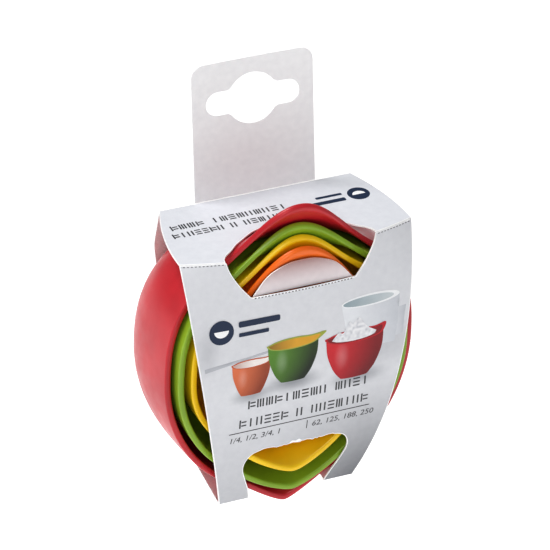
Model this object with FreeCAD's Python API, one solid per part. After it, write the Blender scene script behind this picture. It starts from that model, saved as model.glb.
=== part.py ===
import FreeCAD, Part
import math
import os

# Nested set of four measuring cups held in a folded card sleeve that hangs from a peg.
#
# Modelling frame, in millimetres: X to the right, Y backward, Z up. The cups open forward, towards
# -Y, with the centre of the largest rim at the origin and each smaller rim a little in front. Every
# finished solid is moved by the same amount, so that the origin is the centre of the hang hole.

# ---- cups: one moulded shell each, a spoon-like handle lip at the top and a spout at the bottom ----
WALL = 2.2
UPPER_POWER = 2.5
LOWER_POWER = 2.0
CORNER_POWER = 5.0
CORNER_ROOT = 2.5
BASE_FRACTION = 0.62
TOP_TAPER = 0.14
HANDLE_TILT = 59.0
HANDLE_FADE = 0.25
LIP_GROWTH = 0.15
SPOUT_ROUND = 0.07
SPOUT_SHARPNESS = 1.3
SPOUT_FADE = 0.45
RIM_STEPS = 120
DEPTH_STEPS = 12

CUPS = {
    "one_cup": {
        "half_width": 45.6, "top": 46.9, "bottom": 52.6, "depth": 42.9, "belly": 0.045,
        "forward": 0.0, "handle_tip": 63.3, "handle_forward": 3.1, "handle_half": 30.9,
        "spout_tip": 59.3, "spout_back": 0.8, "spout_half_angle": 16.0,
    },
    "three_quarter_cup": {
        "half_width": 42.3, "top": 43.9, "bottom": 45.7, "depth": 39.9, "belly": 0.0,
        "forward": 3.8, "handle_tip": 55.1, "handle_forward": -2.5, "handle_half": 28.5,
        "spout_tip": 50.9, "spout_back": -1.3, "spout_half_angle": 29.5,
    },
    "half_cup": {
        "half_width": 37.9, "top": 40.5, "bottom": 35.1, "depth": 35.7, "belly": 0.0,
        "forward": 4.2, "handle_tip": 51.2, "handle_forward": -1.5, "handle_half": 24.4,
        "spout_tip": 42.7, "spout_back": -2.1, "spout_half_angle": 41.0,
    },
    "quarter_cup": {
        "half_width": 28.6, "top": 37.0, "bottom": 27.0, "depth": 29.4, "belly": 0.0,
        "forward": 5.4, "handle_tip": 48.6, "handle_forward": 0.6, "handle_half": 27.2,
        "spout_tip": 29.5, "spout_back": 0.0, "spout_half_angle": 36.0,
    },
}

# ---- card sleeve: front, top, back and bottom panels round the cups, open at both sides ----
CARD = 0.5
FOLD_GAP = 0.1
TOP_Z = 47.9
BOTTOM_Z = -54.1
FRONT_TOP_Y = -2.4
FRONT_BOTTOM_Y = 0.0
FRONT_BOW = 10.5
CREASE_BOW = 7.1
BACK_TOP_Y = 32.0
BACK_FLAT_Y = 43.2
BACK_FLAT_TOP_Z = 27.5
BACK_FLAT_LOW_Z = -34.7
BACK_BOTTOM_Y = 40.2
BACK_BEND_RADIUS = 14.0
TOP_FRONT_HALF = 42.0
TOP_BACK_HALF = 35.2
TOP_SIDE_BULGE = 1.8
FRONT_MID_HALF = 36.1
FRONT_MID_Z = -2.0
BOTTOM_FRONT_HALF = 25.1
BOTTOM_BACK_HALF = 22.1
BACK_WIDE_HALF = 32.3
BACK_WIDE_Z = 26.5
LAP_HEIGHT = 14.0

# ---- windows: the upper one lets the handles out, the lower one the spouts ----
TOP_WINDOW_HALF = 28.2
TOP_WINDOW_LOW_HALF = 19.2
TOP_WINDOW_LOW_Z = 34.0
TOP_WINDOW_MID_HALF = 13.8
TOP_WINDOW_MID_Y = 9.7
TOP_WINDOW_BACK_HALF = 6.1
TOP_WINDOW_BACK_Y = 15.3
LOW_WINDOW_HALF = 20.0
LOW_WINDOW_HALF_Z = -35.7
LOW_WINDOW_TOP_HALF = 14.9
LOW_WINDOW_TOP_Z = -29.9
LOW_WINDOW_CREASE_HALF = 15.4
LOW_WINDOW_BASE_HALF = 16.6
LOW_WINDOW_BACK_HALF = 9.2
LOW_WINDOW_BACK_Y = 20.4
FLAP_HALF = 18.0
FLAP_MID_HALF = 12.5
FLAP_MID = 6.2
FLAP_TIP_HALF = 5.5
FLAP_LENGTH = 9.8
FLAP_FROM_UPRIGHT = 6.0
FLAP_GAP = 0.3

# ---- hang tab: its fold line runs just behind the top panel, so that it can fold down flat ----
TAB_ROOT_Y = 32.5
TAB_HALF = 22.1
TAB_HEIGHT = 49.3
TAB_LEAN = 6.9
TAB_CORNER = 4.5
HOLE_HEIGHT = 34.5
HOLE_RADIUS = 9.2
SLOT_HALF = 17.0
SLOT_HALF_HEIGHT = 4.3

SIDE_CLEAR = 60.0
SLAB_HALF = 47.0
PANEL_STATIONS = 6
PANEL_ROWS = 9


def vec(x, y, z):
    return FreeCAD.Vector(x, y, z)


HANG_HOLE = vec(
    0.0,
    TAB_ROOT_Y + HOLE_HEIGHT * math.sin(math.radians(TAB_LEAN)),
    TOP_Z + HOLE_HEIGHT * math.cos(math.radians(TAB_LEAN)),
)


# ---- cups ----
def body_radius(cup, angle, inset):
    """Distance from the rim's centre to the rim without its handle and spout."""
    upper = abs(angle) < math.pi / 2
    side = cup["half_width"] - inset
    height = (cup["top"] if upper else cup["bottom"]) - inset
    power = UPPER_POWER if upper else LOWER_POWER
    across = abs(math.sin(angle) / side) ** power
    along = abs(math.cos(angle) / height) ** power
    return (across + along) ** (-1 / power)


def bowl_profile(cup, angle, t):
    """Radius at a fraction t of the depth, as a fraction of the radius at the rim."""
    reach = (1 - BASE_FRACTION ** CORNER_ROOT) ** (1 / CORNER_POWER)
    corner = (1 - (reach * t) ** CORNER_POWER) ** (1 / CORNER_ROOT)
    belly = 1 + cup["belly"] * math.sin(angle) ** 2 * math.sin(math.pi * t)
    taper = 1 - TOP_TAPER * max(0.0, math.cos(angle)) ** 2 * t * t
    return corner * belly * taper


def handle_bump(cup, x):
    """A bell: 1 at the middle of the handle lip and 0 at its sides."""
    u = abs(x) / cup["handle_half"]
    return math.cos(math.pi * u / 2) ** 2 if u < 1 else 0.0


def spout_bump(cup, angle):
    """A rounded V: 1 at the spout's tip and 0 at its sides."""
    u = (math.pi - abs(angle)) / math.radians(cup["spout_half_angle"])
    rounded = math.sqrt(u * u + SPOUT_ROUND ** 2) - SPOUT_ROUND
    return (1 - rounded) ** SPOUT_SHARPNESS if rounded < 1 else 0.0


def fade(t, reach):
    return max(0.0, 1 - t / reach) ** 2


def cup_point(cup, angle, t, inset):
    """Point of the wall. angle runs round from the top, t from the rim (0) to the base (1)."""
    radius = body_radius(cup, angle, inset) * bowl_profile(cup, angle, t)
    upper = abs(angle) < math.pi / 2
    handle = handle_bump(cup, radius * math.sin(angle)) * fade(t, HANDLE_FADE) if upper else 0.0
    spout = spout_bump(cup, angle) * fade(t, SPOUT_FADE)
    thickness = inset * (1 + LIP_GROWTH * handle)
    tilt = math.radians(HANDLE_TILT) * handle
    reach = radius + (cup["spout_tip"] - cup["bottom"]) * spout
    y = (cup["depth"] - inset) * t - cup["forward"] + cup["spout_back"] * spout
    y -= cup["handle_forward"] * handle + thickness * math.sin(tilt)
    z = reach * math.cos(angle) + (cup["handle_tip"] - cup["top"]) * handle
    z += inset - thickness * math.cos(tilt)
    return vec(reach * math.sin(angle), y, z)


def cup_section(cup, t, inset):
    points = []
    for step in range(RIM_STEPS):
        angle = math.remainder(-math.pi / 2 + 2 * math.pi * step / RIM_STEPS, 2 * math.pi)
        points.append(cup_point(cup, angle, t, inset))
    curve = Part.BSplineCurve()
    curve.interpolate(Points=points, PeriodicFlag=True, Parameters=list(range(RIM_STEPS + 1)))
    return Part.Wire(curve.toShape())


def cup_side(cup, inset):
    depths = [math.sin(math.pi / 2 * step / DEPTH_STEPS) for step in range(DEPTH_STEPS + 1)]
    return Part.makeLoft([cup_section(cup, t, inset) for t in depths], False, False)


def cup(sizes):
    """Outside, inside, rim and two flat bases, sewn into one closed shell."""
    surfaces = [cup_side(sizes, 0.0), cup_side(sizes, WALL)]
    faces = surfaces[0].Faces + surfaces[1].Faces
    rim_edges = []
    for surface in surfaces:
        loops = sorted(surface.Edges, key=lambda edge: edge.BoundBox.Center.y)
        rim_edges.append(loops[0])
        faces.append(Part.Face(Part.Wire(loops[-1])))
    faces += Part.makeRuledSurface(*rim_edges).Faces
    shell = Part.makeShell(faces)
    shell.sewShape()
    solid = Part.makeSolid(shell)
    if solid.Volume < 0:
        solid.reverse()
    return solid


# ---- card sleeve ----
def front_arc_y(z):
    """Outer face of the bowed front panel: a circular arc over the chord between its creases."""
    rise = TOP_Z - BOTTOM_Z
    chord = math.hypot(rise, FRONT_TOP_Y - FRONT_BOTTOM_Y)
    radius = (chord ** 2 / 4 + FRONT_BOW ** 2) / (2 * FRONT_BOW)
    lean = math.atan2(FRONT_BOTTOM_Y - FRONT_TOP_Y, rise)
    middle_y = (FRONT_TOP_Y + FRONT_BOTTOM_Y) / 2 + (radius - FRONT_BOW) * math.cos(lean)
    middle_z = (TOP_Z + BOTTOM_Z) / 2 + (radius - FRONT_BOW) * math.sin(lean)
    return middle_y - math.sqrt(radius ** 2 - (z - middle_z) ** 2)


def front_y(x, z):
    """The front panel also bulges towards its upper crease, which is curved in plan."""
    height = max(0.0, (z - BOTTOM_Z) / (TOP_Z - BOTTOM_Z))
    return front_arc_y(z) - CREASE_BOW * (1 - (x / TOP_FRONT_HALF) ** 2) * height ** 6


def prism(points, direction):
    face = Part.Face(Part.makePolygon(points + [points[0]]))
    return face.extrude(direction)


def mirrored(right_side):
    """Closed outline from its right-hand points, listed from one end to the other."""
    return right_side + [(-a, b) for a, b in reversed(right_side)]


def smooth(points):
    curve = Part.BSplineCurve()
    curve.interpolate(Points=points)
    return curve.toShape()


def outline_prism(edges, direction):
    return Part.Face(Part.Wire(Part.sortEdges(edges)[0])).extrude(direction)


def front_slab():
    """Bowed card, wider than the panel, as a loft of its side sections."""
    sections = []
    for station in range(PANEL_STATIONS + 1):
        x = SLAB_HALF * (2 * station / PANEL_STATIONS - 1)
        low = BOTTOM_Z + CARD + FOLD_GAP
        high = TOP_Z - CARD - FOLD_GAP
        heights = [low + (high - low) * row / PANEL_ROWS for row in range(PANEL_ROWS + 1)]
        outer = [vec(x, front_y(x, z), z) for z in heights]
        inner = [point + vec(0, CARD, 0) for point in outer]
        edges = [smooth(outer), Part.makeLine(outer[-1], inner[-1])]
        edges += [smooth(inner), Part.makeLine(inner[0], outer[0])]
        sections.append(Part.Wire(Part.sortEdges(edges)[0]))
    return Part.makeLoft(sections, True, False)


def front_outline():
    sides = []
    for sign in (1, -1):
        side = [vec(sign * BOTTOM_FRONT_HALF, -SIDE_CLEAR, BOTTOM_Z)]
        side.append(vec(sign * FRONT_MID_HALF, -SIDE_CLEAR, FRONT_MID_Z))
        side.append(vec(sign * TOP_FRONT_HALF, -SIDE_CLEAR, TOP_Z))
        sides.append(Part.Arc(*side).toShape())
    ends = []
    for z, half in ((BOTTOM_Z, BOTTOM_FRONT_HALF), (TOP_Z, TOP_FRONT_HALF)):
        ends.append(Part.makeLine(vec(-half, -SIDE_CLEAR, z), vec(half, -SIDE_CLEAR, z)))
    return outline_prism(sides + ends, vec(0, 2 * SIDE_CLEAR, 0))


def front_panel():
    window_top = mirrored([
        (TOP_WINDOW_LOW_HALF, TOP_WINDOW_LOW_Z),
        (TOP_WINDOW_HALF, TOP_Z - 1.0),
        (TOP_WINDOW_HALF, TOP_Z + 1.0),
    ])
    window_low = mirrored([
        (LOW_WINDOW_CREASE_HALF, BOTTOM_Z - 1.0),
        (LOW_WINDOW_CREASE_HALF, BOTTOM_Z + 2.0),
        (LOW_WINDOW_HALF, LOW_WINDOW_HALF_Z),
        (LOW_WINDOW_TOP_HALF, LOW_WINDOW_TOP_Z),
    ])
    panel = front_slab().common(front_outline())
    for outline in (window_top, window_low):
        corners = [vec(x, -SIDE_CLEAR, z) for x, z in outline]
        panel = panel.cut(prism(corners, vec(0, 2 * SIDE_CLEAR, 0)))
    return panel


def top_panel():
    front = Part.Arc(
        vec(-TOP_FRONT_HALF, FRONT_TOP_Y, TOP_Z),
        vec(0, FRONT_TOP_Y - CREASE_BOW, TOP_Z),
        vec(TOP_FRONT_HALF, FRONT_TOP_Y, TOP_Z),
    ).toShape()
    edges = [front]
    for sign in (1, -1):
        middle_half = (TOP_FRONT_HALF + TOP_BACK_HALF) / 2 + TOP_SIDE_BULGE
        edges.append(Part.Arc(
            vec(sign * TOP_FRONT_HALF, FRONT_TOP_Y, TOP_Z),
            vec(sign * middle_half, (FRONT_TOP_Y + BACK_TOP_Y) / 2, TOP_Z),
            vec(sign * TOP_BACK_HALF, BACK_TOP_Y, TOP_Z),
        ).toShape())
    edges.append(Part.makeLine(
        vec(-TOP_BACK_HALF, BACK_TOP_Y, TOP_Z), vec(TOP_BACK_HALF, BACK_TOP_Y, TOP_Z)))
    plate = outline_prism(edges, vec(0, 0, -CARD))
    window = mirrored([
        (TOP_WINDOW_HALF, FRONT_TOP_Y - 2 * CREASE_BOW),
        (TOP_WINDOW_HALF, FRONT_TOP_Y),
        (TOP_WINDOW_MID_HALF, TOP_WINDOW_MID_Y),
        (TOP_WINDOW_BACK_HALF, TOP_WINDOW_BACK_Y),
    ])
    corners = [vec(x, y, TOP_Z + 1) for x, y in window]
    return plate.cut(prism(corners, vec(0, 0, -2 - CARD)))


def bottom_panel():
    outline = mirrored([
        (BOTTOM_FRONT_HALF, FRONT_BOTTOM_Y + FOLD_GAP),
        (BOTTOM_BACK_HALF, BACK_BOTTOM_Y),
    ])
    window = mirrored([
        (LOW_WINDOW_BASE_HALF, FRONT_BOTTOM_Y - 1.0),
        (LOW_WINDOW_BACK_HALF, LOW_WINDOW_BACK_Y),
    ])
    plate = prism([vec(x, y, BOTTOM_Z) for x, y in outline], vec(0, 0, CARD))
    cutter = prism([vec(x, y, BOTTOM_Z - 1) for x, y in window], vec(0, 0, 2 + CARD))
    return plate.cut(cutter)


def rounded_path(points, radius):
    """Edges along a path of points, with each inner corner turned by a tangent arc."""
    edges = []
    start = points[0]
    for before, corner, after in zip(points, points[1:], points[2:]):
        back = (before - corner).normalize()
        ahead = (after - corner).normalize()
        half = back.getAngle(ahead) / 2
        enter = corner + back * (radius / math.tan(half))
        leave = corner + ahead * (radius / math.tan(half))
        to_centre = (back + ahead).normalize()
        middle = corner + to_centre * (radius / math.sin(half) - radius)
        edges.append(Part.makeLine(start, enter))
        edges.append(Part.Arc(enter, middle, leave).toShape())
        start = leave
    edges.append(Part.makeLine(start, points[-1]))
    return edges


def back_panel():
    """Flat in the middle, where the largest cup's base rests, and turned in above and below."""
    low = BOTTOM_Z + CARD + FOLD_GAP
    high = TOP_Z - CARD - FOLD_GAP
    line = [(BACK_BOTTOM_Y, low), (BACK_FLAT_Y, BACK_FLAT_LOW_Z)]
    line += [(BACK_FLAT_Y, BACK_FLAT_TOP_Z), (BACK_TOP_Y, high)]
    inner = [vec(-SIDE_CLEAR, y, z) for y, z in line]
    outer = [point + vec(0, CARD, 0) for point in inner]
    edges = rounded_path(inner, BACK_BEND_RADIUS) + rounded_path(outer, BACK_BEND_RADIUS + CARD)
    edges += [Part.makeLine(inner[0], outer[0]), Part.makeLine(inner[-1], outer[-1])]
    slab = outline_prism(edges, vec(2 * SIDE_CLEAR, 0, 0))
    outline = mirrored([
        (BOTTOM_BACK_HALF, BOTTOM_Z),
        (BACK_WIDE_HALF, BACK_WIDE_Z),
        (TOP_BACK_HALF, TOP_Z),
    ])
    corners = [vec(x, -SIDE_CLEAR, z) for x, z in outline]
    return slab.common(prism(corners, vec(0, 3 * SIDE_CLEAR, 0)))


def glue_lap():
    """Strip folded up from the bottom panel and glued to the back panel's inner face."""
    low = BOTTOM_Z + CARD
    slope = (BACK_FLAT_Y - BACK_BOTTOM_Y) / (BACK_FLAT_LOW_Z - low)
    outer = [(BACK_BOTTOM_Y, low), (BACK_BOTTOM_Y + slope * LAP_HEIGHT, low + LAP_HEIGHT)]
    points = [vec(-BOTTOM_BACK_HALF, y - FOLD_GAP, z) for y, z in outer]
    points += [vec(-BOTTOM_BACK_HALF, y - FOLD_GAP - CARD, z) for y, z in reversed(outer)]
    return prism(points, vec(2 * BOTTOM_BACK_HALF, 0, 0))


def hang_tab():
    """Flat tab with a round hole and a slot across it, leaning back from the upper rear crease."""
    top = TAB_HEIGHT
    outline = Part.makeBox(2 * TAB_HALF, CARD, top, vec(-TAB_HALF, -CARD / 2, 0))
    corners = []
    for edge in outline.Edges:
        if edge.Length < 2 * CARD and edge.BoundBox.Center.z > top - 1:
            corners.append(edge)
    tab = outline.makeFillet(TAB_CORNER, corners)
    hole = Part.makeCylinder(HOLE_RADIUS, 4 * CARD, vec(0, -2 * CARD, HOLE_HEIGHT), vec(0, 1, 0))
    slot = Part.makeBox(
        2 * SLOT_HALF, 4 * CARD, 2 * SLOT_HALF_HEIGHT,
        vec(-SLOT_HALF, -2 * CARD, HOLE_HEIGHT - SLOT_HALF_HEIGHT))
    ends = [edge for edge in slot.Edges if abs(edge.Length - 4 * CARD) < 0.01]
    slot = slot.makeFillet(SLOT_HALF_HEIGHT * 0.9, ends)
    tab = tab.cut(hole.fuse(slot))
    tab.rotate(vec(0, 0, 0), vec(1, 0, 0), -TAB_LEAN)
    tab.translate(vec(0, TAB_ROOT_Y, TOP_Z))
    return tab


def top_window_flap():
    """Tongue left on the upper window's lower edge and pushed in below the smallest cup's handle."""
    root_y = front_y(FLAP_HALF, TOP_WINDOW_LOW_Z) + CARD + FLAP_GAP
    outline = mirrored([
        (FLAP_HALF, 0.0), (FLAP_MID_HALF, FLAP_MID), (FLAP_TIP_HALF, FLAP_LENGTH)])
    flap = prism([vec(x, 0, z) for x, z in outline], vec(0, CARD, 0))
    flap.rotate(vec(0, 0, 0), vec(1, 0, 0), -FLAP_FROM_UPRIGHT)
    flap.translate(vec(0, root_y, TOP_WINDOW_LOW_Z - FOLD_GAP))
    return flap


def main():
    shapes = {name: cup(sizes) for name, sizes in CUPS.items()}
    shapes["front_panel"] = front_panel()
    shapes["top_panel"] = top_panel()
    shapes["bottom_panel"] = bottom_panel()
    shapes["back_panel"] = back_panel()
    shapes["glue_lap"] = glue_lap()
    shapes["hang_tab"] = hang_tab()
    shapes["top_window_flap"] = top_window_flap()
    os.makedirs("parts", exist_ok=True)
    for name, shape in shapes.items():
        shape = shape.copy()
        shape.translate(vec(0, 0, 0) - HANG_HOLE)
        shape.exportStep("parts/" + name + ".step")


main()
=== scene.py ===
import math
import random

import bmesh
import bpy
import numpy as np
from mathutils import Matrix, Vector, noise
from mathutils.geometry import delaunay_2d_cdt


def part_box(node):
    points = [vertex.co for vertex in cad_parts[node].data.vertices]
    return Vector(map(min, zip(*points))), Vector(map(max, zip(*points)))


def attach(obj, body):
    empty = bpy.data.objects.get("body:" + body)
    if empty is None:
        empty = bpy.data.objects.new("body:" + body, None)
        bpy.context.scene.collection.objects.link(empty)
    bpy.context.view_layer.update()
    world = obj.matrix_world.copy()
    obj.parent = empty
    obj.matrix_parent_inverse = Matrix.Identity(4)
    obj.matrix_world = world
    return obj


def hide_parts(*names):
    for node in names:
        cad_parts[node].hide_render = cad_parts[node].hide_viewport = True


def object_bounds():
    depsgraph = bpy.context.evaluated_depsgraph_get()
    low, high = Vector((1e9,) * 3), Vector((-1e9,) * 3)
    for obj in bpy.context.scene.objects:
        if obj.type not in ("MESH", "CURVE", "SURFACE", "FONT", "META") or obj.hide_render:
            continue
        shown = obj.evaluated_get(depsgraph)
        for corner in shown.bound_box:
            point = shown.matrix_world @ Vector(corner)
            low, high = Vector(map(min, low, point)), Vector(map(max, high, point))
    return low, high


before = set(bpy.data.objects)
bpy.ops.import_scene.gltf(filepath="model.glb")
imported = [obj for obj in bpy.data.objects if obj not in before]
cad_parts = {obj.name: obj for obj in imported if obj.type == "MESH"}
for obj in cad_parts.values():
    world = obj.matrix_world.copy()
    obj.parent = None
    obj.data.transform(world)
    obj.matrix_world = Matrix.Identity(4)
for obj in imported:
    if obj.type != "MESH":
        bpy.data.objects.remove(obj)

# Four nested measuring cups in a folded card sleeve. Shapes are worked out in the modelling frame
# of the CAD source: millimetres from the centre of the largest rim, X right, Y back, Z up. place()
# turns them into metres in the shared frame.
MM = 0.001
CAD_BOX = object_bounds()

# ---- cups ----
WALL = 2.2
UPPER_POWER = 2.5
LOWER_POWER = 2.0
CORNER_POWER = 5.0
CORNER_ROOT = 2.5
BASE_FRACTION = 0.62
TOP_TAPER = 0.14
HANDLE_TILT = 59.0
HANDLE_FADE = 0.25
LIP_GROWTH = 0.15
SPOUT_ROUND = 0.07
SPOUT_SHARPNESS = 1.3
SPOUT_FADE = 0.45
RIM_EDGE = 0.75
FOOT_INSET = 0.09
FOOT_RECESS = 0.5
CUP_STEPS = 288
WALL_ROWS = 22
EDGE_ROWS = 8

CUPS = {
    "one_cup": {
        "half_width": 45.6, "top": 46.9, "bottom": 52.6, "depth": 42.9, "belly": 0.045,
        "forward": 0.0, "handle_tip": 63.3, "handle_forward": 3.1, "handle_half": 30.9,
        "spout_tip": 59.3, "spout_back": 0.8, "spout_half_angle": 16.0,
    },
    "three_quarter_cup": {
        "half_width": 42.3, "top": 43.9, "bottom": 45.7, "depth": 39.9, "belly": 0.0,
        "forward": 3.8, "handle_tip": 55.1, "handle_forward": -2.5, "handle_half": 28.5,
        "spout_tip": 50.9, "spout_back": -1.3, "spout_half_angle": 29.5,
    },
    "half_cup": {
        "half_width": 37.9, "top": 40.5, "bottom": 35.1, "depth": 35.7, "belly": 0.0,
        "forward": 4.2, "handle_tip": 51.2, "handle_forward": -1.5, "handle_half": 24.4,
        "spout_tip": 42.7, "spout_back": -2.1, "spout_half_angle": 41.0,
    },
    "quarter_cup": {
        "half_width": 28.6, "top": 37.0, "bottom": 27.0, "depth": 29.4, "belly": 0.0,
        "forward": 5.4, "handle_tip": 48.6, "handle_forward": 0.6, "handle_half": 27.2,
        "spout_tip": 29.5, "spout_back": 0.0, "spout_half_angle": 36.0,
    },
}
CUP_LOOKS = {
    "one_cup": ("red_plastic", "#BE1E2C"),
    "three_quarter_cup": ("green_plastic", "#8BAE2A"),
    "half_cup": ("yellow_plastic", "#FAD00A"),
    "quarter_cup": ("orange_plastic", "#F27614"),
}

# ---- card sleeve ----
CARD = 0.5
GAP = 0.1
TOP_Z = 47.9
BOTTOM_Z = -54.1
FRONT_TOP_Y = -2.4
FRONT_BOTTOM_Y = 0.0
FRONT_BOW = 10.5
CREASE_BOW = 7.1
CREASE_ROUND = 0.8
BACK_TOP_Y = 32.0
BACK_FLAT_Y = 43.2
BACK_FLAT_TOP_Z = 27.5
BACK_FLAT_LOW_Z = -34.7
BACK_BOTTOM_Y = 40.2
TOP_FRONT_HALF = 42.0
TOP_BACK_HALF = 35.2
TOP_SIDE_BULGE = 1.8
FRONT_MID_HALF = 36.1
FRONT_MID_Z = -2.0
BOTTOM_FRONT_HALF = 25.1
BOTTOM_BACK_HALF = 22.1
BACK_WIDE_HALF = 32.3
BACK_WIDE_Z = 26.5
LAP_HEIGHT = 14.0
TAB_ROOT_Y = 32.5
TAB_HALF = 22.1
TAB_HEIGHT = 49.3
TAB_LEAN = 6.9
TAB_CORNER = 4.5
HOLE_HEIGHT = 34.5
HOLE_RADIUS = 9.2
SLOT_HALF = 17.0
SLOT_HALF_HEIGHT = 4.3
FLAP_HALF = 18.0
FLAP_MID_HALF = 12.5
FLAP_MID = 6.2
FLAP_TIP_HALF = 5.5
FLAP_LENGTH = 9.8
FLAP_FROM_UPRIGHT = 6.0
FLAP_GAP = 0.3
CARD_WAVE = 0.12
GRID = 1.5

# Right-hand halves of the window outlines, from the middle of one side to the middle of the other.
WINDOW_LOW_Z = 34.0
WINDOW_SIDE = [(18.9, WINDOW_LOW_Z), (21.8, 37.5), (24.2, 41.0), (26.2, 44.8), (27.2, 48.4)]
WINDOW_TOP = [
    (27.3, -7.0), (26.9, -4.6), (25.7, -2.6), (23.2, -0.4), (14.5, 6.6), (8.8, 9.6), (0.0, 11.6),
]
LOW_SIDE = [
    (13.9, -54.6), (15.4, -48.5), (17.9, -41.5), (19.3, -36.7), (18.9, -32.9), (16.9, -29.9),
    (13.6, -28.7),
]
LOW_TOP_Z = -28.6
LOW_BASE = [(14.3, -1.0), (14.6, 6.0), (12.4, 14.0), (7.6, 19.2), (0.0, 20.6)]
TEAR_DEPTH = 0.8

SLEEVE_BODY = "sleeve"
CUP_LOW, CUP_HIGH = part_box("one_cup")
RIM_CENTRE = Vector((
    0.0,
    CUP_HIGH.y - CUPS["one_cup"]["depth"] * MM,
    CUP_HIGH.z - CUPS["one_cup"]["handle_tip"] * MM,
))


def place(x, y, z):
    return RIM_CENTRE + Vector((x, y, z)) * MM


def linear(hex_colour):
    """Scene-linear red, green and blue of a web colour."""
    values = []
    for start in (1, 3, 5):
        v = int(hex_colour[start:start + 2], 16) / 255
        values.append(v / 12.92 if v <= 0.04045 else ((v + 0.055) / 1.055) ** 2.4)
    return tuple(values)


# ---- materials ----
def new_material(name):
    material = bpy.data.materials.new(name)
    material.use_nodes = True
    return material, material.node_tree.nodes, material.node_tree.links


def noise_node(nodes, links, scale, detail):
    coordinates = nodes.new("ShaderNodeTexCoord")
    texture = nodes.new("ShaderNodeTexNoise")
    texture.inputs["Scale"].default_value = scale
    texture.inputs["Detail"].default_value = detail
    links.new(coordinates.outputs["Object"], texture.inputs["Vector"])
    return texture


def range_node(nodes, links, source, low, high):
    mapper = nodes.new("ShaderNodeMapRange")
    mapper.inputs["From Min"].default_value = 0.3
    mapper.inputs["From Max"].default_value = 0.7
    mapper.inputs["To Min"].default_value = low
    mapper.inputs["To Max"].default_value = high
    links.new(source, mapper.inputs["Value"])
    return mapper.outputs["Result"]


def add_bump(nodes, links, height, shader, strength, distance):
    bump = nodes.new("ShaderNodeBump")
    bump.inputs["Strength"].default_value = strength
    bump.inputs["Distance"].default_value = distance
    links.new(height, bump.inputs["Height"])
    links.new(bump.outputs["Normal"], shader.inputs["Normal"])


def moulded_plastic(name, colour):
    """Gloss plastic: faint cloudiness in the colour, smudged gloss and a soft flow ripple."""
    material, nodes, links = new_material(name)
    shader = nodes["Principled BSDF"]
    cloud = noise_node(nodes, links, 60.0, 3.0)
    ramp = nodes.new("ShaderNodeMix")
    ramp.data_type = "RGBA"
    ramp.inputs["A"].default_value = (*[c * 0.9 for c in colour], 1)
    ramp.inputs["B"].default_value = (*[min(1.0, c * 1.08 + 0.004) for c in colour], 1)
    links.new(range_node(nodes, links, cloud.outputs["Fac"], 0.0, 1.0), ramp.inputs["Factor"])
    links.new(ramp.outputs["Result"], shader.inputs["Base Color"])
    smudge = noise_node(nodes, links, 190.0, 4.0)
    links.new(range_node(nodes, links, smudge.outputs["Fac"], 0.3, 0.42), shader.inputs["Roughness"])
    ripple = noise_node(nodes, links, 900.0, 2.0)
    add_bump(nodes, links, ripple.outputs["Fac"], shader, 0.04, 0.0002)
    shader.inputs["Coat Weight"].default_value = 0.15
    shader.inputs["Coat Roughness"].default_value = 0.12
    return material


def printed_card(name, gloss):
    """Coated board: its colour is the ink painted on the mesh, which is print together with painted
    shade on the front panel and the flap, over a faint fibre mottle.
    """
    material, nodes, links = new_material(name)
    shader = nodes["Principled BSDF"]
    ink_and_shade = nodes.new("ShaderNodeVertexColor")
    ink_and_shade.layer_name = "ink_and_shade"
    fibre = noise_node(nodes, links, 450.0, 5.0)
    mottle = nodes.new("ShaderNodeMix")
    mottle.data_type = "RGBA"
    mottle.blend_type = "MULTIPLY"
    mottle.inputs["B"].default_value = (0.95, 0.95, 0.955, 1)
    links.new(range_node(nodes, links, fibre.outputs["Fac"], 0.0, 1.0), mottle.inputs["Factor"])
    links.new(ink_and_shade.outputs["Color"], mottle.inputs["A"])
    links.new(mottle.outputs["Result"], shader.inputs["Base Color"])
    roughness = range_node(nodes, links, fibre.outputs["Fac"], gloss, gloss + 0.12)
    links.new(roughness, shader.inputs["Roughness"])
    grain = noise_node(nodes, links, 2600.0, 3.0)
    add_bump(nodes, links, grain.outputs["Fac"], shader, 0.12, 0.00006)
    return material


def raw_board(name, colour):
    """Uncoated board, for the inside and the cut edges: matt, with visible fibres."""
    material, nodes, links = new_material(name)
    shader = nodes["Principled BSDF"]
    fibre = noise_node(nodes, links, 1500.0, 6.0)
    tone = nodes.new("ShaderNodeMix")
    tone.data_type = "RGBA"
    tone.inputs["A"].default_value = (*[c * 0.9 for c in colour], 1)
    tone.inputs["B"].default_value = (*colour, 1)
    links.new(range_node(nodes, links, fibre.outputs["Fac"], 0.0, 1.0), tone.inputs["Factor"])
    links.new(tone.outputs["Result"], shader.inputs["Base Color"])
    links.new(range_node(nodes, links, fibre.outputs["Fac"], 0.75, 0.9), shader.inputs["Roughness"])
    add_bump(nodes, links, fibre.outputs["Fac"], shader, 0.3, 0.00008)
    return material


CARD_FACE = printed_card("coated_board", 0.34)
CARD_INSIDE = raw_board("uncoated_board", linear("#EFE6E6"))
CARD_EDGE = raw_board("board_cut_edge", linear("#FBFBFB"))
PRINT_INK = printed_card("print_ink", 0.3)


# ---- mesh helpers ----
def make_piece(name, points, faces, materials, indices=None, smooth=True):
    mesh = bpy.data.meshes.new(name)
    mesh.from_pydata([tuple(p) for p in points], [], faces)
    for material in materials:
        mesh.materials.append(material)
    if indices is not None:
        mesh.polygons.foreach_set("material_index", indices)
    mesh.polygons.foreach_set("use_smooth", [smooth] * len(mesh.polygons))
    piece = bpy.data.objects.new(name, mesh)
    bpy.context.scene.collection.objects.link(piece)
    return piece


def turn_outward(piece):
    """Makes every face of a closed piece look outward."""
    work = bmesh.new()
    work.from_mesh(piece.data)
    bmesh.ops.recalc_face_normals(work, faces=work.faces)
    work.to_mesh(piece.data)
    work.free()


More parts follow.
